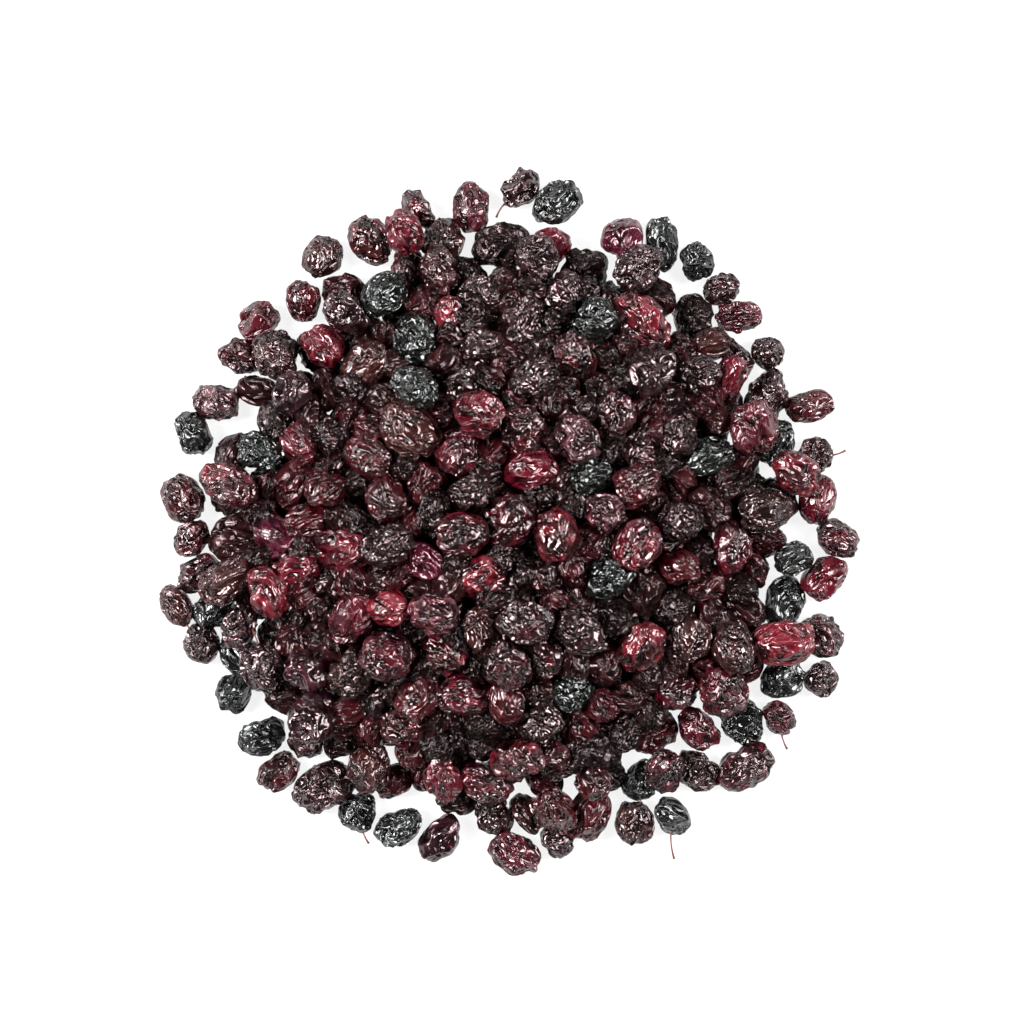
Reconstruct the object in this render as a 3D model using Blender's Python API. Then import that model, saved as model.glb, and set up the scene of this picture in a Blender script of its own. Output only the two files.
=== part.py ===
"""A heap of small dark raisins as it lies on a flat surface.

The raisins are laid out by a rule: a floor layer grows outward, each new raisin touching one that
is there, and the rest settle one by one into the hollows of the pile until it is a low mound.
Those that show are fused onto a plain core with a flat base, as one solid. Metres, +Z up; the
origin is the middle of the base.
"""

import math
import random

import bmesh
import bpy
import numpy as np
from mathutils import Euler

MM = 0.001
NODE_NAME = "raisin_heap"
SKIN_COLOUR = (0.060, 0.018, 0.022, 1.0)
SKIN_ROUGHNESS = 0.35

# The heap: its reach on the surface, its height in the middle and at the rim, and the radius
# where its upper layers end. The outline swells and shrinks by these shares, n times round.
HEAP_RADIUS = 75.2 * MM
HEAP_HEIGHT = 25.0 * MM
RIM_HEIGHT = 9.5 * MM
PILED_RADIUS = 72.0 * MM
MOUND_POWER = 0.80
OUTLINE_WAVES = ((1, 0.010, 1.58), (2, 0.018, 0.66), (3, 0.016, 1.10), (4, 0.010, -1.08))
RAGGED_EDGE = (0.0, 0.0, 0.0, 0.03)

# One raisin: half of its mean thickness, how much raisins differ, and its proportions.
RAISIN_RADIUS = 4.55 * MM
SIZE_SPREAD = 0.115
LEAST_RADIUS = 3.6 * MM
MOST_RADIUS = 5.9 * MM
LONG_SHARE = (1.02, 1.26)
WIDE_SHARE = (0.94, 1.06)
THICK_SHARE = (0.80, 0.94)

# How they lie: neighbours are soft and press into each other, and those on top are tilted more.
SQUEEZE = 0.955
FLOOR_TILT = 0.25
PILE_TILT = 0.75
NEAR_BY = 3.0 * MOST_RADIUS
FLOOR_ROUNDS = 420
FLOOR_TRIES = 60
MAP_STEP = 1.0 * MM
STANDS_ON_OTHERS = 1.3 * RAISIN_RADIUS
STANDS_PROUD = 1.5 * MM
CONTACT_ROUNDS = 4
SEED = 23

# A raisin with few sides: two rings of corners between two tips, as shares of its half-axes.
RING_SIDES = 6
RING_AT = 0.46
RING_SIZE = 1.03
RING_TWIST = 0.25
TIP_AT = 1.06
CORNER_SPREAD = 0.04
PRESSED_IN = 0.9 * MM

# The core under the raisins that show.
CORE_RADIUS = 61.0 * MM
CORE_DEPTH = 9.5 * MM
CORE_SIDES = 24
CORE_RINGS = 4
SHOWS_ABOVE_CORE = 2.5 * MM


class Raisin:
    """One raisin: its three half-axes, its turn, its middle, and the raisin that it touches."""

    def __init__(self, draw, tilt):
        size = RAISIN_RADIUS * math.exp(draw.gauss(0.0, SIZE_SPREAD))
        size = min(max(size, LEAST_RADIUS), MOST_RADIUS)
        shares = [draw.uniform(*share) for share in (LONG_SHARE, WIDE_SHARE, THICK_SHARE)]
        self.axes = np.array(shares) * size
        angles = (draw.uniform(-tilt, tilt), draw.uniform(-tilt, tilt), draw.uniform(0.0, math.tau))
        self.turn = np.array(Euler(angles).to_matrix())
        self.middle = np.zeros(3)
        self.touches = None

    def reach(self, way):
        """Distance from the middle to the skin along the unit vector way."""
        return 1.0 / float(np.linalg.norm((way @ self.turn) / self.axes))

    def half_height(self):
        return float(np.linalg.norm(self.turn[2] * self.axes))

    def mean_radius(self):
        return float(np.cbrt(np.prod(self.axes)))


def heap_edge(angle):
    """Radius of the heap's uneven outline at this angle."""
    return HEAP_RADIUS * (1.0 + sum(size * math.cos(n * angle + turn) for n, size, turn in OUTLINE_WAVES))


def mound_height(radius):
    """Height of the mound over the tops of its raisins, at this distance from the middle."""
    inside = np.clip(1.0 - (radius / PILED_RADIUS) ** 2, 0.0, 1.0)
    return RIM_HEIGHT + (HEAP_HEIGHT - RIM_HEIGHT) * inside**MOUND_POWER


def beside(draw, other):
    """A new raisin on the surface that touches this one."""
    angle = draw.uniform(0.0, math.tau)
    way = np.array((math.cos(angle), math.sin(angle), 0.0))
    new = Raisin(draw, FLOOR_TILT)
    new.middle = other.middle + way * (other.reach(way) + new.reach(-way)) * SQUEEZE
    new.middle[2] = new.half_height()
    new.touches = other
    return new


def fits(new, placed, middles):
    """Whether a raisin on the surface is in the way of none but the one that it touches."""
    across = middles - new.middle
    across[:, 2] = 0.0
    apart = np.linalg.norm(across, axis=1)
    for near in np.flatnonzero(apart < NEAR_BY):
        if placed[near] is new.touches:
            continue
        way = across[near] / apart[near]
        if apart[near] < (new.reach(way) + placed[near].reach(-way)) * SQUEEZE:
            return False
    return True


def outwardness(raisin):
    """Where a raisin's outer side lies between the middle (0) and the heap's outline (1)."""
    x, y = raisin.middle[:2]
    return (math.hypot(x, y) + raisin.axes[1]) / heap_edge(math.atan2(y, x))


def floor_layer(draw):
    """The raisins on the surface: of some that would touch one there, the innermost stays."""
    first = Raisin(draw, FLOOR_TILT)
    first.middle[2] = first.half_height()
    placed = [first]
    for _ in range(FLOOR_ROUNDS):
        middles = np.array([raisin.middle for raisin in placed])
        tries = [beside(draw, draw.choice(placed)) for _ in range(FLOOR_TRIES)]
        tries = [new for new in tries if fits(new, placed, middles)]
        if not tries:
            continue
        new = min(tries, key=outwardness)
        if outwardness(new) < 1.0 + draw.choice(RAGGED_EDGE):
            placed.append(new)
    return placed


class Hollows:
    """A map of the height at which an average raisin comes to rest over each spot of the heap."""

    def __init__(self, placed):
        self.line = np.arange(-HEAP_RADIUS, HEAP_RADIUS, MAP_STEP)
        self.x, self.y = np.meshgrid(self.line, self.line, indexing="ij")
        self.rest = np.full(self.x.shape, RAISIN_RADIUS)
        self.top = mound_height(np.hypot(self.x, self.y))
        for raisin in placed:
            self.add(raisin)

    def add(self, raisin):
        apart = (RAISIN_RADIUS + raisin.mean_radius()) * SQUEEZE
        across = (self.x - raisin.middle[0]) ** 2 + (self.y - raisin.middle[1]) ** 2
        over = raisin.middle[2] + np.sqrt(np.clip(apart**2 - across, 0.0, None))
        self.rest = np.where(across < apart**2, np.maximum(self.rest, over), self.rest)

    def spots(self):
        """Spots on other raisins, no higher than those around, with room under the mound's top."""
        inner = self.rest[1:-1, 1:-1]
        found = (inner + RAISIN_RADIUS <= self.top[1:-1, 1:-1]) & (inner > STANDS_ON_OTHERS)
        for i in range(3):
            for j in range(3):
                found &= inner <= self.rest[i : i + inner.shape[0], j : j + inner.shape[1]]
        return np.argwhere(found) + 1


def let_rest(new, placed):
    """Lowers a raisin over its spot until it touches the surface or a raisin below it."""
    new.middle[2] = new.half_height()
    for other in placed:
        across = new.middle[:2] - other.middle[:2]
        if math.hypot(*across) > NEAR_BY:
            continue
        rise = RAISIN_RADIUS
        for _ in range(CONTACT_ROUNDS):
            way = np.array((across[0], across[1], rise))
            way = way / np.linalg.norm(way)
            apart = (new.reach(way) + other.reach(-way)) * SQUEEZE
            rise = math.sqrt(max(apart**2 - float(across @ across), 0.0))
        if rise > 0.0 and other.middle[2] + rise > new.middle[2]:
            new.middle[2] = other.middle[2] + rise
            new.touches = other


def heap_of_raisins():
    """Every raisin of the heap, in the order in which it came to rest."""
    draw = random.Random(SEED)
    placed = floor_layer(draw)
    hollows = Hollows(placed)
    spots = hollows.spots()
    while len(spots):
        i, j = spots[draw.randrange(len(spots))]
        new = Raisin(draw, PILE_TILT)
        new.middle = np.array((hollows.line[i], hollows.line[j], 0.0))
        let_rest(new, placed)
        if new.middle[2] + new.half_height() > hollows.top[i, j] + STANDS_PROUD:
            hollows.rest[i, j] = HEAP_HEIGHT
        else:
            placed.append(new)
            hollows.add(new)
        spots = hollows.spots()
    return placed


def core_height(radius):
    return float(mound_height(radius)) - CORE_DEPTH


def over_core(raisin, side):
    """Height of a raisin's top (side 1) or underside (side -1) over the core's skin."""
    radius = math.hypot(*raisin.middle[:2])
    surface = core_height(radius) if radius < CORE_RADIUS - raisin.axes[0] else 0.0
    return raisin.middle[2] + side * raisin.half_height() - surface


def raisins_that_show(raisins):
    """Those that stand out of the core, and those that carry one of them clear of it."""
    shown = [raisin for raisin in raisins if over_core(raisin, 1) > SHOWS_ABOVE_CORE]
    carriers = [raisin.touches for raisin in shown if over_core(raisin, -1) > 0.0]
    return [raisin for raisin in raisins if raisin in shown or raisin in carriers]


def add_solid(name, corners, faces, collection):
    """A new object from corners and faces, with its faces pointing out."""
    mesh = bpy.data.meshes.new(name)
    mesh.from_pydata([tuple(corner) for corner in corners], [], faces)
    shape = bmesh.new()
    shape.from_mesh(mesh)
    bmesh.ops.recalc_face_normals(shape, faces=shape.faces)
    shape.to_mesh(mesh)
    shape.free()
    solid = bpy.data.objects.new(name, mesh)
    collection.objects.link(solid)
    return solid


def add_core():
    """The mound that fills the heap under the raisins that show, with its flat base."""
    levels = [(CORE_RADIUS, 0.0)]
    for ring in range(CORE_RINGS, 0, -1):
        radius = CORE_RADIUS * ring / CORE_RINGS
        levels.append((radius, core_height(radius)))
    corners = []
    for radius, height in levels:
        for side in range(CORE_SIDES):
            angle = math.tau * side / CORE_SIDES
            corners.append((radius * math.cos(angle), radius * math.sin(angle), height))
    top = len(corners)
    corners.append((0.0, 0.0, core_height(0.0)))
    faces = [tuple(range(CORE_SIDES))]
    for side in range(CORE_SIDES):
        following = (side + 1) % CORE_SIDES
        for low in range(0, top - CORE_SIDES, CORE_SIDES):
            high = low + CORE_SIDES
            faces.append((low + side, low + following, high + following, high + side))
        faces.append((top - CORE_SIDES + side, top - CORE_SIDES + following, top))
    return add_solid(NODE_NAME, corners, faces, bpy.context.scene.collection)


def add_low_raisin(draw, raisin, collection):
    """A raisin with few sides, one corner of it pressed into the raisin that it touches."""
    shares = [(-TIP_AT, 0.0, 0.0)]
    for end in (-1, 1):
        for side in range(RING_SIDES):
            angle = math.tau * (side + RING_TWIST * end) / RING_SIDES
            shares.append((end * RING_AT, RING_SIZE * math.cos(angle), RING_SIZE * math.sin(angle)))
    shares.append((TIP_AT, 0.0, 0.0))
    uneven = [[1.0 + draw.uniform(-CORNER_SPREAD, CORNER_SPREAD)] for _ in shares]
    corners = np.array(shares) * uneven * raisin.axes @ raisin.turn.T + raisin.middle
    if raisin.touches is not None:
        way = raisin.touches.middle - raisin.middle
        way = way / np.linalg.norm(way)
        nearest = int(np.argmax((corners - raisin.middle) @ way))
        corners[nearest] = raisin.middle + way * (raisin.reach(way) + PRESSED_IN)
    corners[:, 2] = np.maximum(corners[:, 2], 0.0)
    faces = []
    for side in range(RING_SIDES):
        near, far = 1 + side, 1 + (side + 1) % RING_SIDES
        faces.append((0, far, near))
        faces.append((near, far, far + RING_SIDES))
        faces.append((near, far + RING_SIDES, near + RING_SIDES))
        faces.append((near + RING_SIDES, far + RING_SIDES, len(shares) - 1))
    add_solid("raisin", corners, faces, collection)


def fuse_onto(core, pieces):
    """One Boolean union joins the pieces to the core, and then they are removed."""
    fuse = core.modifiers.new("fuse", "BOOLEAN")
    fuse.operation = "UNION"
    fuse.operand_type = "COLLECTION"
    fuse.collection = pieces
    evaluated = core.evaluated_get(bpy.context.evaluated_depsgraph_get())
    fused = bpy.data.meshes.new_from_object(evaluated)
    core.modifiers.clear()
    core.data = fused
    fused.name = NODE_NAME
    for piece in list(pieces.objects):
        bpy.data.objects.remove(piece)
    bpy.data.collections.remove(pieces)


def keep_outer_skin(mesh):
    """Drops every shell but the largest, which fills a hollow that fusing has sealed."""
    shape = bmesh.new()
    shape.from_mesh(mesh)
    waiting = set(shape.faces)
    shells = []
    while waiting:
        shell = set()
        found = {waiting.pop()}
        while found:
            shell |= found
            found = {near for face in found for edge in face.edges for near in edge.link_faces} - shell
        waiting -= shell
        shells.append(shell)
    outer = max(shells, key=len)
    inner = [face for face in shape.faces if face not in outer]
    bmesh.ops.delete(shape, geom=inner, context="FACES")
    shape.to_mesh(mesh)
    shape.free()


def skin_material():
    skin = bpy.data.materials.new("raisin_skin")
    skin.use_nodes = True
    shader = skin.node_tree.nodes["Principled BSDF"]
    shader.inputs["Base Color"].default_value = SKIN_COLOUR
    shader.inputs["Roughness"].default_value = SKIN_ROUGHNESS
    shader.inputs["Metallic"].default_value = 0.0
    return skin


def main():
    for old in list(bpy.data.objects):
        bpy.data.objects.remove(old)
    pieces = bpy.data.collections.new("pieces")
    bpy.context.scene.collection.children.link(pieces)
    draw = random.Random(SEED)
    for raisin in raisins_that_show(heap_of_raisins()):
        add_low_raisin(draw, raisin, pieces)
    heap = add_core()
    fuse_onto(heap, pieces)
    keep_outer_skin(heap.data)
    heap.data.materials.clear()
    heap.data.materials.append(skin_material())


main()
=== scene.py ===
"""A heap of small dark raisins lying loose on a pale surface, seen from straight above.

Metres, +Z up; the origin is the middle of the heap's base. The heap is put together from below:
where each raisin lies, the small ones that have slipped into the gaps, the dark middle of the
heap, the raisins by kind, their stems, and then the surface, the light and the camera.
"""

import math
import random

import bpy
import numpy as np
from mathutils import Euler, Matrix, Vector


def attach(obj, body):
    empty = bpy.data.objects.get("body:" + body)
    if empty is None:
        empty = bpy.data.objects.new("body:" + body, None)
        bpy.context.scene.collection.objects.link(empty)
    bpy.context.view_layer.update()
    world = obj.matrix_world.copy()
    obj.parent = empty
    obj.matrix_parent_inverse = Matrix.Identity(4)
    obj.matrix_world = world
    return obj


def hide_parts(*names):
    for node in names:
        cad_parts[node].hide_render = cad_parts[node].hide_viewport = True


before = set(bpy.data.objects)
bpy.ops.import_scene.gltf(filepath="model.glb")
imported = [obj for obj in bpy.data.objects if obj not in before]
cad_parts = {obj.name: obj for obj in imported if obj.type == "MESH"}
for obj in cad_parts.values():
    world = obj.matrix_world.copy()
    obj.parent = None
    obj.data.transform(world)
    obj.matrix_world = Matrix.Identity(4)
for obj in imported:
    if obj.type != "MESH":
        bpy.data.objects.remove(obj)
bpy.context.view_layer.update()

MM = 0.001

# Where the raisins lie. A floor layer grows outward, each new raisin touching one that is there,
# and the rest settle one by one into the hollows of the pile, until it is a low round mound. The
# same rule with the same seed laid out the solid heap, so its raisins start in the same places.

HEAP_RADIUS = 75.2 * MM
HEAP_HEIGHT = 25.0 * MM
RIM_HEIGHT = 9.5 * MM
PILED_RADIUS = 72.0 * MM
MOUND_POWER = 0.80
OUTLINE_WAVES = ((1, 0.010, 1.58), (2, 0.018, 0.66), (3, 0.016, 1.10), (4, 0.010, -1.08))
RAGGED_EDGE = (0.0, 0.0, 0.0, 0.03)
RAISIN_RADIUS = 4.55 * MM
SIZE_SPREAD = 0.115
LEAST_RADIUS = 3.6 * MM
MOST_RADIUS = 5.9 * MM
LONG_SHARE = (1.02, 1.26)
WIDE_SHARE = (0.94, 1.06)
THICK_SHARE = (0.80, 0.94)
SQUEEZE = 0.955
FLOOR_TILT = 0.25
PILE_TILT = 0.75
NEAR_BY = 3.0 * MOST_RADIUS
FLOOR_ROUNDS = 420
FLOOR_TRIES = 60
MAP_STEP = 1.0 * MM
STANDS_ON_OTHERS = 1.3 * RAISIN_RADIUS
STANDS_PROUD = 1.5 * MM
CONTACT_ROUNDS = 4
LAYOUT_SEED = 23


class Raisin:
    """One raisin: its three half-axes, its turn, its middle, and the raisin that it touches."""

    def __init__(self, draw, tilt):
        size = RAISIN_RADIUS * math.exp(draw.gauss(0.0, SIZE_SPREAD))
        size = min(max(size, LEAST_RADIUS), MOST_RADIUS)
        shares = [draw.uniform(*share) for share in (LONG_SHARE, WIDE_SHARE, THICK_SHARE)]
        self.axes = np.array(shares) * size
        self.angles = (draw.uniform(-tilt, tilt), draw.uniform(-tilt, tilt), draw.uniform(0.0, math.tau))
        self.turn = np.array(Euler(self.angles).to_matrix())
        self.middle = np.zeros(3)
        self.touches = None

    def reach(self, way):
        """Distance from the middle to the skin along the unit vector way."""
        return 1.0 / float(np.linalg.norm((way @ self.turn) / self.axes))

    def half_height(self):
        return float(np.linalg.norm(self.turn[2] * self.axes))

    def mean_radius(self):
        return float(np.cbrt(np.prod(self.axes)))


def heap_edge(angle):
    """Radius of the heap's uneven outline at this angle."""
    return HEAP_RADIUS * (1.0 + sum(size * math.cos(n * angle + turn) for n, size, turn in OUTLINE_WAVES))


def mound_height(radius):
    """Height of the mound over the tops of its raisins, at this distance from the middle."""
    inside = np.clip(1.0 - (radius / PILED_RADIUS) ** 2, 0.0, 1.0)
    return RIM_HEIGHT + (HEAP_HEIGHT - RIM_HEIGHT) * inside**MOUND_POWER


def beside(draw, other):
    """A new raisin on the surface that touches this one."""
    angle = draw.uniform(0.0, math.tau)
    way = np.array((math.cos(angle), math.sin(angle), 0.0))
    new = Raisin(draw, FLOOR_TILT)
    new.middle = other.middle + way * (other.reach(way) + new.reach(-way)) * SQUEEZE
    new.middle[2] = new.half_height()
    new.touches = other
    return new


def fits(new, placed, middles):
    """Whether a raisin on the surface is in the way of none but the one that it touches."""
    across = middles - new.middle
    across[:, 2] = 0.0
    apart = np.linalg.norm(across, axis=1)
    for near in np.flatnonzero(apart < NEAR_BY):
        if placed[near] is new.touches:
            continue
        way = across[near] / apart[near]
        if apart[near] < (new.reach(way) + placed[near].reach(-way)) * SQUEEZE:
            return False
    return True


def outwardness(raisin):
    """Where a raisin's outer side lies between the middle (0) and the heap's outline (1)."""
    x, y = raisin.middle[:2]
    return (math.hypot(x, y) + raisin.axes[1]) / heap_edge(math.atan2(y, x))


def floor_layer(draw):
    """The raisins on the surface: of some that would touch one there, the innermost stays."""
    first = Raisin(draw, FLOOR_TILT)
    first.middle[2] = first.half_height()
    placed = [first]
    for _ in range(FLOOR_ROUNDS):
        middles = np.array([raisin.middle for raisin in placed])
        tries = [beside(draw, draw.choice(placed)) for _ in range(FLOOR_TRIES)]
        tries = [new for new in tries if fits(new, placed, middles)]
        if not tries:
            continue
        new = min(tries, key=outwardness)
        if outwardness(new) < 1.0 + draw.choice(RAGGED_EDGE):
            placed.append(new)
    return placed


class Hollows:
    """A map of the height at which an average raisin comes to rest over each spot of the heap."""

    def __init__(self, placed):
        self.line = np.arange(-HEAP_RADIUS, HEAP_RADIUS, MAP_STEP)
        self.x, self.y = np.meshgrid(self.line, self.line, indexing="ij")
        self.rest = np.full(self.x.shape, RAISIN_RADIUS)
        self.top = mound_height(np.hypot(self.x, self.y))
        for raisin in placed:
            self.add(raisin)

    def add(self, raisin):
        apart = (RAISIN_RADIUS + raisin.mean_radius()) * SQUEEZE
        across = (self.x - raisin.middle[0]) ** 2 + (self.y - raisin.middle[1]) ** 2
        over = raisin.middle[2] + np.sqrt(np.clip(apart**2 - across, 0.0, None))
        self.rest = np.where(across < apart**2, np.maximum(self.rest, over), self.rest)

    def spots(self):
        """Spots on other raisins, no higher than those around, with room under the mound's top."""
        inner = self.rest[1:-1, 1:-1]
        found = (inner + RAISIN_RADIUS <= self.top[1:-1, 1:-1]) & (inner > STANDS_ON_OTHERS)
        for i in range(3):
            for j in range(3):
                found &= inner <= self.rest[i : i + inner.shape[0], j : j + inner.shape[1]]
        return np.argwhere(found) + 1


def let_rest(new, placed):
    """Lowers a raisin over its spot until it touches the surface or a raisin below it."""
    new.middle[2] = new.half_height()
    for other in placed:
        across = new.middle[:2] - other.middle[:2]
        if math.hypot(*across) > NEAR_BY:
            continue
        rise = RAISIN_RADIUS
        for _ in range(CONTACT_ROUNDS):
            way = np.array((across[0], across[1], rise))
            way = way / np.linalg.norm(way)
            apart = (new.reach(way) + other.reach(-way)) * SQUEEZE
            rise = math.sqrt(max(apart**2 - float(across @ across), 0.0))
        if rise > 0.0 and other.middle[2] + rise > new.middle[2]:
            new.middle[2] = other.middle[2] + rise
            new.touches = other


def heap_of_raisins():
    """Every raisin of the heap, in the order in which it came to rest."""
    draw = random.Random(LAYOUT_SEED)
    placed = floor_layer(draw)
    hollows = Hollows(placed)
    spots = hollows.spots()
    while len(spots):
        i, j = spots[draw.randrange(len(spots))]
        new = Raisin(draw, PILE_TILT)
        new.middle = np.array((hollows.line[i], hollows.line[j], 0.0))
        let_rest(new, placed)
        if new.middle[2] + new.half_height() > hollows.top[i, j] + STANDS_PROUD:
            hollows.rest[i, j] = HEAP_HEIGHT
        else:
            placed.append(new)
            hollows.add(new)
        spots = hollows.spots()
    return placed


# In the real heap the raisins are more oval than in the one closed solid, and those at the rim lie
# slightly apart.
OVAL = (1.10, 0.95, 0.97)
RIM_FROM = 0.78
RIM_SPREAD = 2.0 * MM
RIM_SHRINK = 0.05


def spread_rim(placed):
    """Makes every raisin more oval, and draws those near the rim apart, the outermost the most."""
    for raisin in placed:
        share = min(max((outwardness(raisin) - RIM_FROM) / (1.0 - RIM_FROM), 0.0), 1.0)
        on_surface = raisin.middle[2] <= raisin.half_height()
        radius = math.hypot(*raisin.middle[:2])
        raisin.middle[:2] *= 1.0 + RIM_SPREAD * share / max(radius, RAISIN_RADIUS)
        raisin.axes = raisin.axes * OVAL
        if on_surface:
            raisin.axes = raisin.axes * (1.0 - RIM_SHRINK * share)
            raisin.middle[2] = raisin.half_height()


raisins = heap_of_raisins()
spread_rim(raisins)

# The small raisins that have slipped down into the gaps between the ones on top. Each in turn goes
# where the most room is left, seen from above, with its top well under the mound's top. They stay
# away from the rim, so they change neither the heap's outline nor its height.

SEEN_STEP = 0.8 * MM
GAP_RAISINS = 90
GAP_RADIUS = 54.0 * MM
GAP_TOP = 5.2 * MM
GAP_WIDTH = 2.6 * MM
LEAST_GAP = 2.0 * MM
GAP_SHRINK = 0.84
GAP_SEED = 8


class View:
    """The heap seen from above: at each spot, the height of the skin and whose skin it is."""

    def __init__(self, placed):
        line = np.arange(-HEAP_RADIUS - MOST_RADIUS, HEAP_RADIUS + MOST_RADIUS, SEEN_STEP)
        self.x, self.y = np.meshgrid(line, line, indexing="ij")
        self.height = np.zeros(self.x.shape)
        self.owner = np.full(self.x.shape, -1)
        for number, raisin in enumerate(placed):
            self.add(number, raisin)

    def add(self, number, raisin):
        form = raisin.turn @ np.diag(1.0 / raisin.axes**2) @ raisin.turn.T
        dx, dy = self.x - raisin.middle[0], self.y - raisin.middle[1]
        half = form[0, 2] * dx + form[1, 2] * dy
        rest = form[0, 0] * dx**2 + 2.0 * form[0, 1] * dx * dy + form[1, 1] * dy**2 - 1.0
        inside = half**2 - form[2, 2] * rest
        top = raisin.middle[2] + (np.sqrt(np.clip(inside, 0.0, None)) - half) / form[2, 2]
        higher = (inside > 0.0) & (top > self.height)
        self.height = np.where(higher, top, self.height)
        self.owner = np.where(higher, number, self.owner)


def slip_into_gaps(placed, view):
    """Adds the small raisins one by one, each where the gaps have the most room left."""
    draw = random.Random(GAP_SEED)
    reach = round(GAP_WIDTH / SEEN_STEP)
    steps = range(-reach, reach + 1)
    around = [(i, j) for i in steps for j in steps if math.hypot(i, j) * SEEN_STEP <= GAP_WIDTH]
    from_middle = np.hypot(view.x, view.y)
    highest = mound_height(from_middle) - GAP_TOP
    for _ in range(GAP_RAISINS):
        room = np.clip(highest - view.height, -GAP_TOP, 2.0 * GAP_TOP)
        room = sum(np.roll(room, spot, (0, 1)) for spot in around) / len(around)
        room = np.where(from_middle < GAP_RADIUS, room, -1.0)
        i, j = np.unravel_index(np.argmax(room), room.shape)
        if room[i, j] < LEAST_GAP:
            break
        small = Raisin(draw, PILE_TILT)
        small.axes = small.axes * GAP_SHRINK
        small.middle = np.array((view.x[i, j], view.y[i, j], 0.0))
        small.middle[2] = max(highest[i, j] - small.half_height(), small.half_height())
        view.add(len(placed), small)
        placed.append(small)


seen = View(raisins)
slip_into_gaps(raisins, seen)

# The dark middle of the heap. Under the raisins that show lie others, pressed together and in
# shade. They are made as one low mound that lies on the surface, well below the raisins on top,
# with round bumps of a raisin's size on its upper side.

MIDDLE_RADIUS = 46.0 * MM
MIDDLE_DEPTH = 15.0 * MM
MIDDLE_SIDES = 96
MIDDLE_RINGS = 34
MIDDLE_UNDERSIDE = 0.3 * MM
MIDDLE_LEAST_HEIGHT = 0.6 * MM
MIDDLE_EDGE_DROP = 6.0 * MM
MIDDLE_EDGE_POWER = 6
BUMP_SIZE = 8.5 * MM
BUMP_HEIGHT = 2.2 * MM
BUMPED_ABOVE = 0.4 * MM
FLOOR_CLEARANCE = 0.2 * MM
MIDDLE_COLOURS = ((0.020, 0.009, 0.009, 1.0), (0.030, 0.011, 0.011, 1.0))
MOTTLE_SCALE = 260.0
WRINKLE_SCALE = 900.0
WRINKLE_STRENGTH = 0.8
WRINKLE_DEPTH = 0.3 * MM
MIDDLE_ROUGHNESS = 0.7


class Tree:
    """Adds nodes to a node tree: a value given for a socket is a link or a plain value."""

    def __init__(self, tree):
        self.tree = tree

    def add(self, kind, values=(), **settings):
        node = self.tree.nodes.new(kind)
        for name, value in settings.items():
            setattr(node, name, value)
        return self.fill(node, values)

    def fill(self, node, values):
        for socket, value in dict(values).items():
            if isinstance(value, bpy.types.NodeSocket):
                self.tree.links.new(value, node.inputs[socket])
            else:
                node.inputs[socket].default_value = value
        return node

    def math(self, operation, *values, clamp=False):
        node = self.add("ShaderNodeMath", enumerate(values), operation=operation, use_clamp=clamp)
        return node.outputs[0]

    def plus(self, one, other):
        return self.math("ADD", one, other)

    def minus(self, one, other):
        return self.math("SUBTRACT", one, other)

    def times(self, one, other):
        return self.math("MULTIPLY", one, other)

    def vector(self, operation, *values):
        node = self.add("ShaderNodeVectorMath", enumerate(values), operation=operation)
        return node.outputs[0]

    def scaled(self, vector, scale):
        node = self.add("ShaderNodeVectorMath", {0: vector, "Scale": scale}, operation="SCALE")
        return node.outputs[0]

    def combined(self, x, y, z):
        return self.add("ShaderNodeCombineXYZ", {0: x, 1: y, 2: z}).outputs[0]

    def noise(self, vector, scale, detail=0.0):
        values = {"Vector": vector, "Scale": scale, "Detail": detail}
        return self.add("ShaderNodeTexNoise", values).outputs

    def cells(self, vector, scale):
        """Distance to the middle of the nearest of many loose cells."""
        return self.add("ShaderNodeTexVoronoi", {"Vector": vector, "Scale": scale}).outputs["Distance"]

    def between(self, value, span, result=(0.0, 1.0)):
        """Eases from the result's first value to its second while the value goes through the span."""
        values = {"Value": value, "From Min": span[0], "From Max": span[1]}
        values.update({"To Min": result[0], "To Max": result[1]})
        return self.add("ShaderNodeMapRange", values, interpolation_type="SMOOTHSTEP").outputs["Result"]

    def mixed(self, amount, none, full):
        """The first colour where the amount is 0, and the second where it is 1."""
        return self.add("ShaderNodeMix", {0: amount, 6: none, 7: full}, data_type="RGBA").outputs[2]

    def kept_over(self, place, height):
        """Lifts a place that lies lower than this height up to it, and moves none sideways."""
        far_off = -1.0
        return self.vector("MAXIMUM", place, (far_off, far_off, height))


def middle_height(radius):
    """Height of the mound of pressed raisins at this distance from the middle, before its bumps."""
    drop = MIDDLE_EDGE_DROP * (radius / MIDDLE_RADIUS) ** MIDDLE_EDGE_POWER
    return max(float(mound_height(radius)) - MIDDLE_DEPTH - drop, MIDDLE_LEAST_HEIGHT)


def dark_middle_mesh():
    """A flat underside and rings of corners that climb the mound, closer together at its edge."""
    corners = [(0.0, 0.0, MIDDLE_UNDERSIDE)]
    for ring in range(MIDDLE_RINGS + 1):
        radius = MIDDLE_RADIUS * math.sin(0.5 * math.pi * (1.0 - ring / (MIDDLE_RINGS + 1)))
        height = MIDDLE_UNDERSIDE if ring == 0 else middle_height(radius)
        for side in range(MIDDLE_SIDES):
            angle = math.tau * side / MIDDLE_SIDES
            corners.append((radius * math.cos(angle), radius * math.sin(angle), height))
    corners.append((0.0, 0.0, middle_height(0.0)))
    faces = []
    for side in range(MIDDLE_SIDES):
        near, far = 1 + side, 1 + (side + 1) % MIDDLE_SIDES
        faces.append((0, far, near))
        for ring in range(MIDDLE_RINGS):
            low, high = ring * MIDDLE_SIDES, (ring + 1) * MIDDLE_SIDES
            faces.append((near + low, far + low, far + high, near + high))
        low = MIDDLE_RINGS * MIDDLE_SIDES
        faces.append((near + low, far + low, len(corners) - 1))
    mesh = bpy.data.meshes.new("dark_middle")
    mesh.from_pydata(corners, [], faces)
    return mesh


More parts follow.
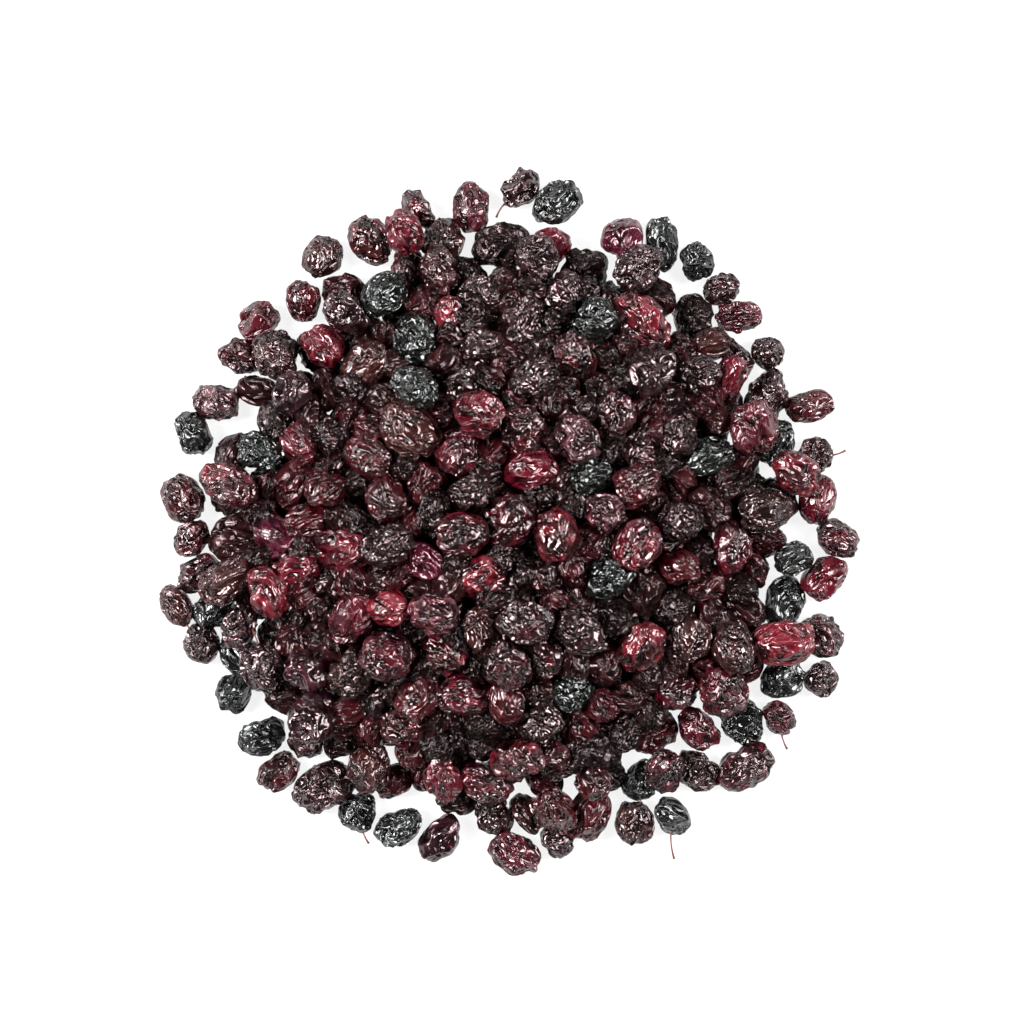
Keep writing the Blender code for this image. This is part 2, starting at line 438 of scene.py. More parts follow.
def modifier_tree(name, inputs):
    """A new modifier tree that takes a mesh and these named inputs, and gives a mesh."""
    tree = bpy.data.node_groups.new(name, "GeometryNodeTree")
    tree.interface.new_socket("Geometry", in_out="INPUT", socket_type="NodeSocketGeometry")
    for input_name, kind in inputs.items():
        tree.interface.new_socket(input_name, in_out="INPUT", socket_type="NodeSocket" + kind)
    tree.interface.new_socket("Geometry", in_out="OUTPUT", socket_type="NodeSocketGeometry")
    return tree


def pressed_raisins():
    """A modifier tree that raises round bumps of a raisin's size on the mound's upper side."""
    inputs = {"Bump size": "Float", "Bump height": "Float", "Skin": "Material"}
    tree = modifier_tree("pressed_raisins", inputs)
    make = Tree(tree)
    given = make.add("NodeGroupInput").outputs
    place = make.add("GeometryNodeInputPosition").outputs[0]
    from_bump = make.cells(place, make.math("DIVIDE", 1.0, given["Bump size"]))
    lift = make.times(make.minus(0.5, from_bump), given["Bump height"])
    height = make.add("ShaderNodeSeparateXYZ", {0: place}).outputs[2]
    lift = make.times(lift, make.math("GREATER_THAN", height, BUMPED_ABOVE))
    lifted = make.vector("ADD", place, make.combined(0.0, 0.0, lift))
    lifted = make.kept_over(lifted, FLOOR_CLEARANCE)
    moved = make.add("GeometryNodeSetPosition", {"Geometry": given["Geometry"], "Position": lifted})
    smooth = make.add("GeometryNodeSetShadeSmooth", {"Geometry": moved.outputs[0]})
    real = make.add("GeometryNodeRealizeInstances", {"Geometry": smooth.outputs[0]})
    skinned = {"Geometry": real.outputs[0], "Material": given["Skin"]}
    made = make.add("GeometryNodeSetMaterial", skinned)
    make.add("NodeGroupOutput", {0: made.outputs[0]})
    return tree


def made_plain(name, mesh, tree, values):
    """A new object whose mesh is what the modifier tree makes of this one, with no modifier left."""
    piece = bpy.data.objects.new(name, mesh)
    bpy.context.scene.collection.objects.link(piece)
    modifier = piece.modifiers.new("make", "NODES")
    modifier.node_group = tree
    for socket in tree.interface.items_tree:
        if socket.item_type == "SOCKET" and socket.name in values:
            modifier[socket.identifier] = values[socket.name]
    evaluated = piece.evaluated_get(bpy.context.evaluated_depsgraph_get())
    made = bpy.data.meshes.new_from_object(evaluated)
    piece.modifiers.clear()
    piece.data = made
    made.name = name
    return piece


def material_parts(name):
    """A new material, the tree that its nodes are added to, and its shader."""
    material = bpy.data.materials.new(name)
    material.use_nodes = True
    return material, Tree(material.node_tree), material.node_tree.nodes["Principled BSDF"]


def pressed_skin():
    """The skin of the pressed raisins in the shade of others: almost black and dull, as painted shade."""
    material, shade, shader = material_parts("pressed_skin")
    place = shade.add("ShaderNodeTexCoord").outputs["Object"]
    mottle = shade.noise(place, MOTTLE_SCALE, detail=3.0)["Fac"]
    colour = shade.mixed(mottle, *MIDDLE_COLOURS)
    wrinkles = shade.noise(place, WRINKLE_SCALE, detail=2.0)["Fac"]
    bump = {"Strength": WRINKLE_STRENGTH, "Distance": WRINKLE_DEPTH, "Height": wrinkles}
    normal = shade.add("ShaderNodeBump", bump).outputs[0]
    shade.fill(shader, {"Base Color": colour, "Normal": normal, "Roughness": MIDDLE_ROUGHNESS})
    # No gloss at all: painted shade of the raisins on top.
    shader.inputs["Specular IOR Level"].default_value = 0.0
    return material


middle = made_plain(
    "dark_middle",
    dark_middle_mesh(),
    pressed_raisins(),
    {"Bump size": BUMP_SIZE, "Bump height": BUMP_HEIGHT, "Skin": pressed_skin()},
)
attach(middle, "root")
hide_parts("raisin_heap")

# The raisins. Each is a dried berry with its skin fallen into folds: a rounded body with a pucker
# at its stem end, a dimple, and thin crests round wider hollows. The kinds differ in colour and in
# how full and how wrinkled they are. They lie loose, pressed a little into one another.

# The area of a raisin that is seen from above, in square metres, decides whether it is left out,
# whether it may stand out or carry a stem, and whether it gets the finer mesh. A raisin is sunken
# when its top lies this far under the mound's top, inside this radius.
LEFT_OUT_UNDER = 1e-6
WELL_SEEN = 25e-6
FINE_FROM = 34e-6
SUNKEN_FROM = 5.0 * MM
SUNKEN_RADIUS = 62.0 * MM

areas = np.bincount(seen.owner[seen.owner >= 0], minlength=len(raisins)) * SEEN_STEP**2
for raisin, area in zip(raisins, areas):
    radius = math.hypot(*raisin.middle[:2])
    sunk = float(mound_height(radius)) - raisin.middle[2] - raisin.half_height()
    raisin.seen = area
    raisin.sunken = sunk > SUNKEN_FROM and radius < SUNKEN_RADIUS

# The finer mesh has 19 corners along an edge of its cube, and the coarser one 12. The ball that is
# joined last is number 0. Corners are drawn together on the side that faces up, which leans
# outward toward the rim.
CORNERS = {"Fine corners": 19, "Coarse corners": 12}
FINE_BALL = 0
COARSE_BALL = 1
CORNER_PULL = 0.40
LEANS_OUT = 0.7


def berry_points(name, berries, draw):
    """A mesh of one loose corner for each raisin, with the values that its form is worked out from."""
    mesh = bpy.data.meshes.new(name)
    mesh.from_pydata([tuple(berry.middle) for berry in berries], [], [])
    values = {"middle": [], "half_axes": [], "turn": [], "faced": []}
    lots, balls = [], []
    for berry in berries:
        out = Vector(tuple(berry.middle[:2]) + (0.0,)) * (LEANS_OUT / HEAP_RADIUS)
        faced = (out + Vector((0.0, 0.0, 1.0))).normalized()
        values["middle"].append(tuple(berry.middle))
        values["half_axes"].append(tuple(berry.axes))
        values["turn"].append(berry.angles)
        values["faced"].append(tuple(np.array(faced) @ berry.turn))
        lots.append(draw.random())
        balls.append(FINE_BALL if berry.seen >= FINE_FROM and not berry.sunken else COARSE_BALL)
    for name_of, rows in values.items():
        stored = mesh.attributes.new(name_of, "FLOAT_VECTOR", "POINT")
        stored.data.foreach_set("vector", np.array(rows, dtype=np.float32).ravel())
    stored = mesh.attributes.new("lot", "FLOAT", "POINT")
    stored.data.foreach_set("value", np.array(lots, dtype=np.float32))
    stored = mesh.attributes.new("ball_number", "INT", "POINT")
    stored.data.foreach_set("value", balls)
    return mesh


# How the skin of most raisins has folded, and that of the plump ones, which have dried less. Sizes
# are in millimetres along the skin, and depths in metres.
FOLDED = {
    "Fold size": 3.2,
    "Fold depth": 0.85 * MM,
    "Crease size": 1.5,
    "Crease depth": 0.45 * MM,
    "Lump": 1.8 * MM,
    "Dent": 0.8 * MM,
    "Dimple": 0.5 * MM,
    "Lengthwise": 0.6,
}
PLUMP = {
    "Fold size": 4.6,
    "Fold depth": 1.0 * MM,
    "Crease size": 2.4,
    "Crease depth": 0.25 * MM,
    "Lump": 2.0 * MM,
    "Dent": 0.9 * MM,
    "Dimple": 1.7 * MM,
    "Lengthwise": 0.6,
}

# What the raisins' forms have in common. Scales are for each millimetre along the skin, and shifts
# are in millimetres.
SWELL = 0.75 * MM
LOT_SHIFT = (1.3, 0.7, 2.1)
LOT_SPREAD = 900.0
BEND_SCALE = 0.30
BEND_REACH = 5.0
CREASE_SHIFT = (3.0, 71.0, 19.0)
CREST_FACTOR = 1.25
CREST_POWER = 1.5
CREST_SHARES = (0.6, 0.4)
LUMP_SCALE = 0.16
DENT_SHIFT = (9.0, 9.0, 9.0)
DENT_SCALE = 0.17
DENT_SPAN = (0.54, 0.68)
PUCKER_SPAN = (0.90, 1.0)
PUCKER_DEPTH = 0.7 * MM
DIMPLE_TURNS = (97.0, 57.0, 31.0)
DIMPLE_SWAY = 0.55
DIMPLE_SPAN = (0.82, 0.97)
DIMPLE_EDGE_SPAN = (0.60, 0.82)
DIMPLE_EDGE_RISE = 0.25
LEAST_OVER_FLOOR = 0.05 * MM


def wrinkled_berries():
    """A modifier tree that makes a wrinkled raisin at each point."""
    inputs = {level: "Int" for level in CORNERS}
    inputs.update({size: "Float" for size in FOLDED})
    inputs["Skin"] = "Material"
    tree = modifier_tree("wrinkled_berries", inputs)
    make = Tree(tree)
    given = make.add("NodeGroupInput").outputs

    def position():
        return make.add("GeometryNodeInputPosition").outputs[0]

    def stored(name, kind="FLOAT_VECTOR"):
        node = make.add("GeometryNodeInputNamedAttribute", {"Name": name}, data_type=kind)
        return node.outputs["Attribute"]

    def store(geometry, name, value, kind="FLOAT_VECTOR"):
        values = {"Geometry": geometry, "Name": name, "Value": value}
        settings = {"data_type": kind, "domain": "POINT"}
        return make.add("GeometryNodeStoreNamedAttribute", values, **settings).outputs[0]

    # A ball of even squares: a cube whose corners are spread and then drawn in to radius 1.
    # A raisin that is half covered or sunken takes the ball with fewer corners.
    def ball(corners):
        cube = {"Size": (2.0, 2.0, 2.0)}
        cube.update({"Vertices " + axis: corners for axis in "XYZ"})
        cube = make.add("GeometryNodeMeshCube", cube).outputs[0]
        spread = make.vector("TANGENT", make.scaled(position(), math.pi / 4.0))
        drawn_in = {"Geometry": cube, "Position": make.vector("NORMALIZE", spread)}
        drawn_in = make.add("GeometryNodeSetPosition", drawn_in).outputs[0]
        marked = store(drawn_in, "ball", position())
        return make.add("GeometryNodeGeometryToInstance", {"Geometry": marked}).outputs[0]

    balls = make.add("GeometryNodeJoinGeometry")
    for level in ("Coarse corners", "Fine corners"):
        tree.links.new(ball(given[level]), balls.inputs[0])
    picked = {
        "Points": given["Geometry"],
        "Instance": balls.outputs[0],
        "Pick Instance": True,
        "Instance Index": stored("ball_number", "INT"),
    }
    berries = make.add("GeometryNodeInstanceOnPoints", picked)
    berries = make.add("GeometryNodeRealizeInstances", {"Geometry": berries.outputs[0]}).outputs[0]

    # The body: an ellipsoid, with its corners drawn closer together on the side that is seen.
    way = make.vector("ADD", stored("ball"), make.scaled(stored("faced"), CORNER_PULL))
    way = make.vector("NORMALIZE", way)
    body = make.vector("MULTIPLY", way, stored("half_axes"))
    outward = make.vector("NORMALIZE", make.vector("DIVIDE", way, stored("half_axes")))
    lot = stored("lot", "FLOAT")

    # Skin coordinates in millimetres, another stretch of them for each raisin, drawn out along it.
    along = make.minus(1.0, make.times(given["Lengthwise"], lot))
    skin = make.vector("MULTIPLY", make.scaled(body, 1.0 / MM), make.combined(along, 1.0, 1.0))
    skin = make.vector("ADD", skin, make.scaled(LOT_SHIFT, make.times(lot, LOT_SPREAD)))
    bend = make.noise(skin, BEND_SCALE, detail=1.0)["Color"]
    bend = make.scaled(make.vector("SUBTRACT", bend, (0.5, 0.5, 0.5)), BEND_REACH)
    skin = make.vector("ADD", skin, bend)

    def crests(size, shift):
        """1 on the thin crests between hollows of this size, falling to 0 in their middles."""
        moved = make.scaled(make.vector("ADD", skin, shift), make.math("DIVIDE", 1.0, size))
        away = make.math("MULTIPLY", make.cells(moved, 1.0), CREST_FACTOR, clamp=True)
        return make.math("POWER", away, CREST_POWER)

    fold = crests(given["Fold size"], (0.0, 0.0, 0.0))
    crease = crests(given["Crease size"], CREASE_SHIFT)

    # Soft lumps over the whole body, a few broad dents, the pucker at the stem end, and a dimple
    # with a low raised edge somewhere on the side that is seen.
    lump = make.minus(make.noise(skin, LUMP_SCALE)["Fac"], 0.5)
    dent = make.between(make.noise(make.vector("ADD", skin, DENT_SHIFT), DENT_SCALE)["Fac"], DENT_SPAN)
    pucker = make.between(make.add("ShaderNodeSeparateXYZ", {0: way}).outputs[0], PUCKER_SPAN)
    sway = [make.times(make.math("SINE", make.times(lot, turns)), DIMPLE_SWAY) for turns in DIMPLE_TURNS]
    dimple_way = make.vector("NORMALIZE", make.vector("ADD", stored("faced"), make.combined(*sway)))
    facing = make.add("ShaderNodeVectorMath", {0: way, 1: dimple_way}, operation="DOT_PRODUCT")
    facing = facing.outputs["Value"]
    edge = make.times(make.between(facing, DIMPLE_EDGE_SPAN), DIMPLE_EDGE_RISE)
    dimple = make.minus(make.between(facing, DIMPLE_SPAN), edge)

    height = make.plus(make.times(lump, given["Lump"]), SWELL)
    hollows = (
        (dent, given["Dent"]),
        (make.minus(1.0, fold), given["Fold depth"]),
        (make.minus(1.0, crease), given["Crease depth"]),
        (pucker, PUCKER_DEPTH),
        (dimple, given["Dimple"]),
    )
    for shape, depth in hollows:
        height = make.minus(height, make.times(shape, depth))

    # Each raisin is turned and set in its place, no lower than just over the surface.
    local = make.vector("ADD", body, make.scaled(outward, height))
    turned = {"Vector": local, "Rotation": stored("turn")}
    turned = make.add("ShaderNodeVectorRotate", turned, rotation_type="EULER_XYZ").outputs[0]
    place = make.vector("ADD", turned, stored("middle"))
    place = make.kept_over(place, LEAST_OVER_FLOOR)
    crest = make.plus(make.times(fold, CREST_SHARES[0]), make.times(crease, CREST_SHARES[1]))
    berries = store(berries, "crest", crest, "FLOAT")
    berries = store(berries, "skin", skin)
    berries = make.add("GeometryNodeSetPosition", {"Geometry": berries, "Position": place}).outputs[0]
    for name in ("ball", "middle", "half_axes", "turn", "faced", "ball_number"):
        berries = make.add("GeometryNodeRemoveAttribute", {"Geometry": berries, "Name": name}).outputs[0]
    smooth = make.add("GeometryNodeSetShadeSmooth", {"Geometry": berries})
    skinned = {"Geometry": smooth.outputs[0], "Material": given["Skin"]}
    made = make.add("GeometryNodeSetMaterial", skinned)
    make.add("NodeGroupOutput", {0: made.outputs[0]})
    return tree


# The skin. Thin patches are lighter, on some raisins more than on others. Painted shade darkens the
# hollows between the crests, and the crests are a little lightened. A powdery bloom, partly painted
# sheen, lies in patches on the crests. Fine lines wind over it, deeper in some patches.
PATCH_SCALE = 0.30
LOT_TINT = 0.5
THIN_SPAN = (0.58, 0.84)
THIN_SHIFT = 0.5
HOLLOW_SIZE = 1.5
HOLLOW_SHARE = 0.5
VALLEY_SPAN = (0.35, 0.95)
VALLEY_PAINTED_SHADE = (0.08, 1.1)
BLOOM_AND_SHEEN_CRESTS = (0.45, 1.0)
BLOOM_AND_SHEEN_SCALE = 0.45
BLOOM_AND_SHEEN_SPAN = (0.35, 0.75)
BLOOM_AND_SHEEN_AMOUNT = (0.0, 0.5)
WINDING_SCALE = 0.15
WINDING_LINES = 10.0
WINDING_POWER = 4.0
WINDING_SHARE = 0.6
HOLLOW_POWER = 1.8
DRAWN_SCALE = 0.28
DRAWN_SPAN = (0.36, 0.54)
DRAWN_DEPTH = (0.3, 1.15)
LINE_DEPTH = 0.58 * MM
GLOSS_SCALE = 0.5
GLOSS_SPAN = (0.35, 0.65)
ROUGH_SPREAD = (0.06, 0.10)
COAT_SHARE = 0.2
COAT_ROUGHNESS = 0.07


def raisin_skin(
    name,
    deep,
    light,
    bloom_and_sheen,
    rough=0.13,
    thin=0.35,
    wrinkle=1.0,
    shine=0.7,
    gloss=(1.0, 0.73, 0.745),
):
    """Dried grape skin: painted shade in the hollows, lighter where it is thin, with powdery patches,
    partly painted sheen, on the crests.
    """
    material, shade, shader = material_parts(name)
    crest = shade.add("ShaderNodeAttribute", attribute_name="crest").outputs["Fac"]
    skin = shade.add("ShaderNodeAttribute", attribute_name="skin").outputs["Vector"]
    lot = shade.add("ShaderNodeAttribute", attribute_name="lot").outputs["Fac"]
    hollow = shade.cells(shade.vector("ADD", skin, CREASE_SHIFT), 1.0 / HOLLOW_SIZE)

    patches = shade.noise(skin, PATCH_SCALE, detail=2.0)["Fac"]
    amount = shade.plus(patches, shade.times(shade.minus(lot, 0.5), LOT_TINT))
    amount = shade.between(amount, [end - THIN_SHIFT * thin for end in THIN_SPAN])
    colour = shade.mixed(amount, deep + (1.0,), light + (1.0,))
    # Painted shade: the colour is darkened in the hollows and a little lightened on the crests.
    valley_painted_shade = shade.plus(crest, shade.times(hollow, HOLLOW_SHARE))
    valley_painted_shade = shade.between(valley_painted_shade, VALLEY_SPAN, VALLEY_PAINTED_SHADE)
    colour = shade.vector("MULTIPLY", colour, shade.combined(valley_painted_shade, valley_painted_shade, valley_painted_shade))
    # Bloom and painted sheen: a paler colour in patches on the crests, where highlights fall.
    bloom_and_sheen_amount = shade.between(shade.noise(skin, BLOOM_AND_SHEEN_SCALE, detail=2.0)["Fac"], BLOOM_AND_SHEEN_SPAN, BLOOM_AND_SHEEN_AMOUNT)
    bloom_and_sheen_amount = shade.times(shade.between(crest, BLOOM_AND_SHEEN_CRESTS), bloom_and_sheen_amount)
    colour = shade.mixed(bloom_and_sheen_amount, colour, bloom_and_sheen + (1.0,))

    slope = shade.noise(skin, WINDING_SCALE, detail=0.3)["Fac"]
    winding = shade.math("COSINE", shade.times(slope, math.tau * WINDING_LINES))
    winding = shade.math("POWER", shade.math("MULTIPLY_ADD", winding, 0.5, 0.5), WINDING_POWER)
    fine = shade.math("MULTIPLY_ADD", winding, WINDING_SHARE, shade.math("POWER", hollow, HOLLOW_POWER))
    drawn_up = shade.between(shade.noise(skin, DRAWN_SCALE, detail=1.0)["Fac"], DRAWN_SPAN, DRAWN_DEPTH)
    bump = {"Strength": wrinkle, "Distance": LINE_DEPTH, "Height": shade.times(fine, drawn_up)}
    normal = shade.add("ShaderNodeBump", bump).outputs[0]

    rough_span = (rough - ROUGH_SPREAD[0], rough + ROUGH_SPREAD[1])
    roughness = shade.between(shade.noise(skin, GLOSS_SCALE)["Fac"], GLOSS_SPAN, rough_span)
    shade.fill(shader, {"Base Color": colour, "Roughness": roughness, "Normal": normal})
    shader.inputs["Specular IOR Level"].default_value = shine
    shader.inputs["Specular Tint"].default_value = gloss + (1.0,)
    shader.inputs["Coat Weight"].default_value = COAT_SHARE * shine
    shader.inputs["Coat Roughness"].default_value = COAT_ROUGHNESS
    return material


class Kind:
    """One kind of raisin: its share of those drawn by lot, its skin, and how it has folded."""

    def __init__(self, share, deep, light, bloom_and_sheen, form=FOLDED, **finish):
        self.share = share
        self.colours = {"deep": deep, "light": light, "bloom_and_sheen": bloom_and_sheen}
        self.form = form
        self.finish = finish
        self.berries = []


# The last two kinds are the raisins that lie deep between others. Their darker, duller skins are painted
# shade, as raisins in the shade look.
KINDS = {
    "plum": Kind(
        share=0.18,
        deep=(0.0042, 0.0012, 0.0013),
        light=(0.030, 0.0020, 0.0034),
        bloom_and_sheen=(0.045, 0.022, 0.025),
    ),
    "mauve": Kind(
        share=0.17,
        deep=(0.0051, 0.0013, 0.0019),
        light=(0.042, 0.0030, 0.0062),
        bloom_and_sheen=(0.055, 0.030, 0.035),
    ),
    "claret": Kind(
        share=0.23,
        deep=(0.0045, 0.0010, 0.0013),
        light=(0.054, 0.0018, 0.0056),
        bloom_and_sheen=(0.050, 0.024, 0.028),
        wrinkle=0.75,
    ),
    "crimson": Kind(
        share=0.04,
        deep=(0.0108, 0.0011, 0.0013),
        light=(0.085, 0.0040, 0.0085),
        bloom_and_sheen=(0.10, 0.042, 0.048),
        wrinkle=0.7,
    ),
    "black": Kind(
        share=0.09,
        deep=(0.0013, 0.0014, 0.0013),
        light=(0.0036, 0.0038, 0.0036),
        bloom_and_sheen=(0.022, 0.024, 0.022),
        gloss=(0.84, 0.87, 0.85),
    ),
    "brown": Kind(
        share=0.12,
        deep=(0.0048, 0.0018, 0.0015),
        light=(0.021, 0.0048, 0.0040),
        bloom_and_sheen=(0.045, 0.026, 0.024),
    ),
    "plump": Kind(
        share=0.04,
        deep=(0.0049, 0.0009, 0.0016),
        light=(0.040, 0.0019, 0.0090),
        bloom_and_sheen=(0.054, 0.030, 0.036),
        form=PLUMP,
        rough=0.15,
        wrinkle=0.35,
    ),
    "amber": Kind(
        share=0.0,
        deep=(0.0048, 0.0014, 0.00088),
        light=(0.048, 0.0104, 0.0026),
        bloom_and_sheen=(0.060, 0.036, 0.028),
        thin=0.45,
    ),
    # Raisins with painted sheen: a pale grey-mauve colour on the crests stands in for broad reflections.
    "dusty": Kind(
        share=0.03,
        deep=(0.012, 0.0022, 0.0036),
        light=(0.070, 0.008, 0.014),
        bloom_and_sheen=(0.24, 0.14, 0.15),
    ),
    # Painted shade: darker, duller skins for the raisins deep in the gaps.
    "sunken": Kind(
        share=0.0,
        deep=(0.0034, 0.0012, 0.0014),
        light=(0.022, 0.0022, 0.0032),
        bloom_and_sheen=(0.018, 0.010, 0.011),
        shine=0.3,
    ),
    "shaded": Kind(
        share=0.0,
        deep=(0.0030, 0.0014, 0.0013),
        light=(0.011, 0.0024, 0.0024),
        bloom_and_sheen=(0.014, 0.009, 0.009),
        shine=0.3,
    ),
}
SUNKEN_KINDS = ("sunken", "shaded")
COLOUR_SEED = 71

# Raisins that stand out: where in the heap they lie, in millimetres from its middle.
STAND_OUTS = {
    "crimson": (
        (-18.7, -28.7), (5.2, -48.3), (14.6, -50.4), (12.2, 0.0), (27.6, -20.7),
        (-10.7, 58.0), (31.7, 45.0), (-57.4, 9.8), (-2.4, -12.0), (-51.3, -11.7),
        (-18.3, -48.9), (56.7, -23.7), (-31.1, 65.2), (-25.9, -18.3),
    ),
    "plump": ((-15.2, -67.4), (-41.5, 25.2), (-45.2, -40.2), (23.5, 34.1)),
    "dusty": ((16.5, 23.5), (18.7, 4.6), (-15.0, -16.7)),
    "amber": ((-33.5, -42.0),),
    "brown": ((47.8, -21.5), (-8.0, 30.0)),
    "black": (
        (-67.6, 16.7), (-60.4, -26.5), (59.3, 15.4), (64.3, -6.3), (-15.9, 27.2),
        (-25.7, -64.6), (35.2, -66.3), (-52.0, 14.8), (19.1, 15.9), (49.3, 12.0),
        (31.5, 66.5), (14.3, -39.6),
    ),
}


def nearest(place, among):
    """The raisin whose middle lies nearest to this place, given in millimetres."""
    x, y = place[0] * MM, place[1] * MM
    return min(among, key=lambda berry: math.hypot(berry.middle[0] - x, berry.middle[1] - y))


def choose_kinds(draw):
    """Gives each raisin its kind, by lot, by depth or as a stand-out, and sorts those that show."""
    names = list(KINDS)
    shares = [KINDS[name].share for name in names]
    for number, berry in enumerate(raisins):
        drawn = draw.choices(names, shares)[0]
        # Raisins deep in the gaps take the skins of painted shade.
        berry.kind = SUNKEN_KINDS[number % len(SUNKEN_KINDS)] if berry.sunken else drawn
    open_to_view = [berry for berry in raisins if berry.seen >= WELL_SEEN and not berry.sunken]
    for name, places in STAND_OUTS.items():
        for place in places:
            berry = nearest(place, open_to_view)
            berry.kind = name
            open_to_view.remove(berry)
    for berry in raisins:
        if berry.seen >= LEFT_OUT_UNDER:
            KINDS[berry.kind].berries.append(berry)


berry_draw = random.Random(COLOUR_SEED)
choose_kinds(berry_draw)
berry_tree = wrinkled_berries()
for name, kind in KINDS.items():
    points = berry_points(name, kind.berries, berry_draw)
    skin = raisin_skin(name + "_skin", **kind.colours, **kind.finish)
    piece = made_plain(name + "_raisins", points, berry_tree, dict(kind.form, Skin=skin, **CORNERS))
    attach(piece, "root")
    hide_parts("raisin_heap")

# The stems. A few raisins keep the thin dry stalk that they grew on, brown with a red tinge. Each
# is a bent tube that starts just inside its raisin, rises a little, and bends sideways and down.

STEM_WIDTH = 0.42 * MM
STEM_SIDES = 6
STEM_STEPS = 8
STEM_ROOT = 0.6 * MM
STEM_RISE = 0.25
STEM_DROP = 0.35
STEM_SWAY = 0.22
STEM_CLEARANCE = 0.1 * MM
STEM_THICKNESS = (0.8, 0.5)
BARK_COLOURS = ((0.020, 0.007, 0.005, 1.0), (0.16, 0.030, 0.016, 1.0))
BARK_SCALE = 120.0
BARK_ROUGHNESS = 0.55
# Where the raisin lies in millimetres, the way its stem points in degrees, and the stem's length,
# also in millimetres.
STEMS = (
    ((-33.3, -59.8), -80.0, 3.6),
    ((-5.7, -67.2), -72.0, 4.6),
    ((20.4, -70.4), 192.0, 5.2),
    ((35.2, -66.3), -96.0, 6.4),
    ((5.2, 76.3), 225.0, 3.6),
    ((-62.4, 25.2), 35.0, 4.4),
    ((69.6, 10.7), 5.0, 3.4),
    ((57.6, -46.1), -82.0, 3.6),
    ((-69.3, -15.7), -62.0, 4.2),
    ((-50.0, -30.0), 100.0, 4.0),
    ((3.0, 48.0), 60.0, 4.4),
    ((30.0, -30.0), 150.0, 4.8),
)


def stem_path(berry, heading, length):
    """Points along a stem, from just inside the raisin to the stem's tip."""
    way = np.array((math.cos(heading), math.sin(heading), 0.0))
    side = np.array((-way[1], way[0], 0.0))
    start = berry.middle + way * (berry.reach(way) - STEM_ROOT)
    lowest = 0.5 * STEM_WIDTH + STEM_CLEARANCE
    points = []
    for step in range(STEM_STEPS + 1):
        run = step / STEM_STEPS
        point = start + way * (length * run) + side * (STEM_SWAY * length * run**2)
        point[2] = max(point[2] + length * (STEM_RISE * run - STEM_DROP * run**2), lowest)
        points.append(Vector(point))
    return points


def stem_mesh():
    """Every stem as a closed tube that is a little thicker at its ends."""
    well_seen = [berry for berry in raisins if berry.seen >= WELL_SEEN]
    least, more = STEM_THICKNESS
    corners, faces = [], []
    for place, heading, length in STEMS:
        path = stem_path(nearest(place, well_seen), math.radians(heading), length * MM)
        first = len(corners)
        for step, point in enumerate(path):
            ahead = path[min(step + 1, STEM_STEPS)] - path[max(step - 1, 0)]
            frame_of = ahead.to_track_quat("Z", "Y").to_matrix()
            thick = 0.5 * STEM_WIDTH * (least + more * (2.0 * step / STEM_STEPS - 1.0) ** 2)
            for side in range(STEM_SIDES):
                turn = math.tau * side / STEM_SIDES
                corners.append(point + frame_of @ Vector((math.cos(turn), math.sin(turn), 0.0)) * thick)
        for step in range(STEM_STEPS):
            ring = first + step * STEM_SIDES
            for side in range(STEM_SIDES):
                low, next_low = ring + side, ring + (side + 1) % STEM_SIDES
                faces.append((low, next_low, next_low + STEM_SIDES, low + STEM_SIDES))
        faces.append(tuple(first + side for side in reversed(range(STEM_SIDES))))
        faces.append(tuple(first + STEM_STEPS * STEM_SIDES + side for side in range(STEM_SIDES)))
    mesh = bpy.data.meshes.new("stems")
    mesh.from_pydata(corners, [], faces)
    mesh.shade_smooth()
    return mesh


def stem_bark():
    """Dry stalk: mottled brown with a red tinge, and dull."""
    material, shade, shader = material_parts("stem_bark")
    place = shade.add("ShaderNodeTexCoord").outputs["Object"]
    colour = shade.mixed(shade.noise(place, BARK_SCALE, detail=2.0)["Fac"], *BARK_COLOURS)
    shade.fill(shader, {"Base Color": colour, "Roughness": BARK_ROUGHNESS})
    return material


stems = bpy.data.objects.new("stems", stem_mesh())
bpy.context.scene.collection.objects.link(stems)
stems.data.materials.append(stem_bark())
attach(stems, "root")
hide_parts("raisin_heap")

# The surface under the heap: a plain white board, dull, and larger than the picture. It also glows
# by itself, which keeps it an even white.

FLOOR_SIDE = 6.0
FLOOR_TONE = (0.14, 0.14, 0.14, 1.0)
FLOOR_ROUGHNESS = 0.9
FLOOR_GLOW = (1.0, 1.0, 1.0, 1.0)
FLOOR_GLOW_STRENGTH = 0.85

half = 0.5 * FLOOR_SIDE
floor_corners = [(-half, -half, 0.0), (half, -half, 0.0), (half, half, 0.0), (-half, half, 0.0)]
floor_mesh = bpy.data.meshes.new("floor")
floor_mesh.from_pydata(floor_corners, [], [(0, 1, 2, 3)])
floor = bpy.data.objects.new("floor", floor_mesh)
bpy.context.scene.collection.objects.link(floor)
white, board, board_shader = material_parts("white_board")
board.fill(board_shader, {"Base Color": FLOOR_TONE, "Roughness": FLOOR_ROUGHNESS})
board.fill(board_shader, {"Emission Color": FLOOR_GLOW, "Emission Strength": FLOOR_GLOW_STRENGTH})
floor.data.materials.append(white)

# The light: two bright soft boxes left and right over the heap, four weaker ones round it, and a
# faint white light from all sides.

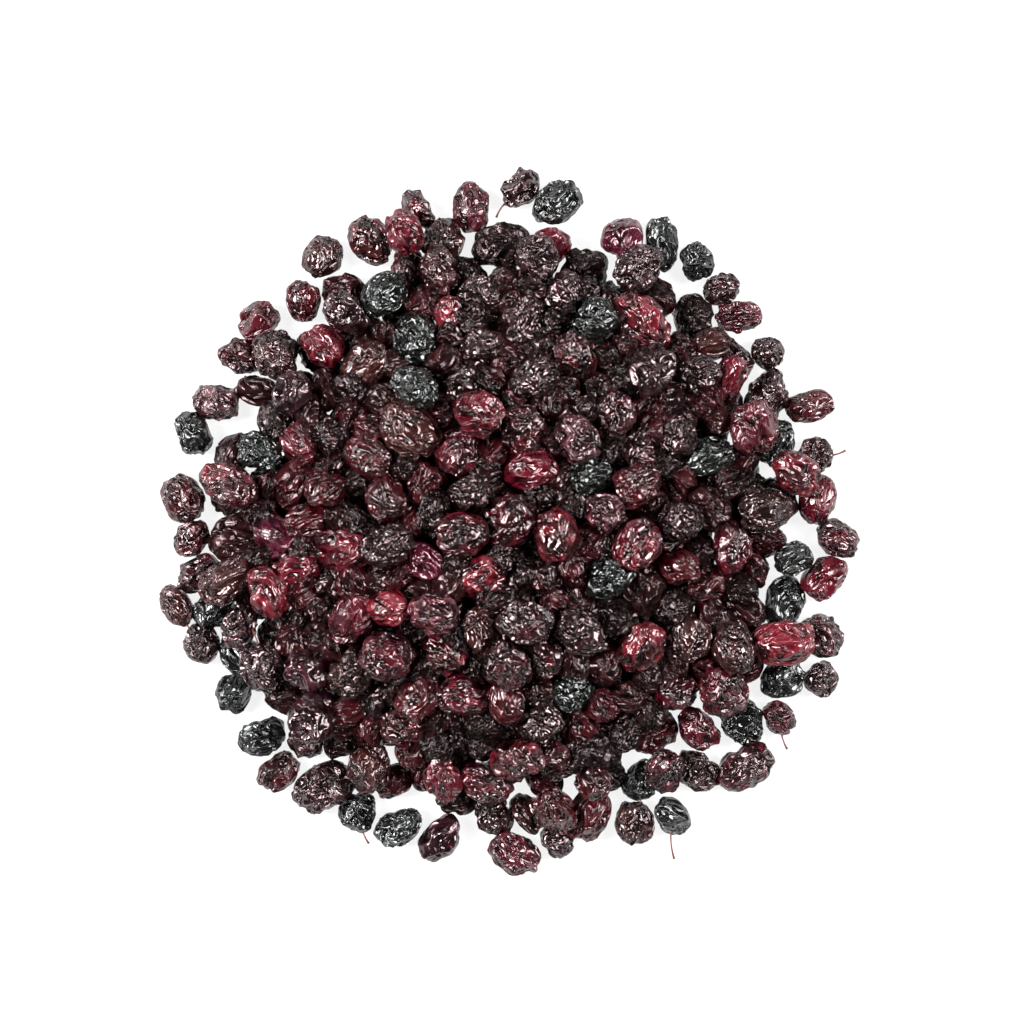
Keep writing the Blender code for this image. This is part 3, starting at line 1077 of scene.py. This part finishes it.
# Where each box stands, its width and length in metres, and the radiance of its face in watts for
# each square metre and steradian.
SOFT_BOXES = {
    "box_left": ((-0.65, 0.08, 0.64), 0.30, 0.60, 42.5),
    "box_right": ((0.68, 0.12, 0.62), 0.38, 0.70, 20.5),
    "low_right": ((0.95, 0.05, 0.36), 0.30, 0.90, 4.2),
    "low_left": ((-0.80, 0.50, 0.34), 0.30, 0.80, 7.5),
    "box_front": ((-0.10, -0.80, 0.60), 0.36, 0.20, 9.0),
    "box_back": ((0.05, 0.85, 0.60), 0.36, 0.20, 9.0),
}
ROOM_COLOUR = (1.0, 1.0, 1.0, 1.0)
ROOM_LIGHT = 0.10


def soft_box(name, place, width, length, radiance):
    """A soft box that faces the middle of the heap."""
    light = bpy.data.lights.new(name, "AREA")
    light.shape = "RECTANGLE"
    light.size = width
    light.size_y = length
    light.energy = radiance * math.pi * width * length
    lamp = bpy.data.objects.new(name, light)
    lamp.location = place
    lamp.rotation_euler = Vector(place).to_track_quat("Z", "Y").to_euler()
    lamp.visible_camera = False
    bpy.context.scene.collection.objects.link(lamp)


for name, box in SOFT_BOXES.items():
    soft_box(name, *box)
world = bpy.data.worlds.new("room")
world.use_nodes = True
world.node_tree.nodes["Background"].inputs["Color"].default_value = ROOM_COLOUR
world.node_tree.nodes["Background"].inputs["Strength"].default_value = ROOM_LIGHT
bpy.context.scene.world = world
bpy.context.scene.view_settings.view_transform = "Standard"

# The camera: straight above, with the heap about in the middle of the picture. Its height sets how
# wide a stretch the picture shows, and the height of the heap is counted in.

PICTURE_WIDTH = 0.2248
LENS = 85.0
SENSOR = 36.0
NEAR_LIMIT = 0.01
LOOKS_AT = (1.7 * MM, 2.8 * MM, 8.0 * MM)

camera_data = bpy.data.cameras.new("camera")
camera_data.lens = LENS
camera_data.sensor_width = SENSOR
camera_data.clip_start = NEAR_LIMIT
camera = bpy.data.objects.new("camera", camera_data)
camera.location = (LOOKS_AT[0], LOOKS_AT[1], LOOKS_AT[2] + PICTURE_WIDTH * LENS / SENSOR)
bpy.context.scene.collection.objects.link(camera)
bpy.context.scene.camera = camera
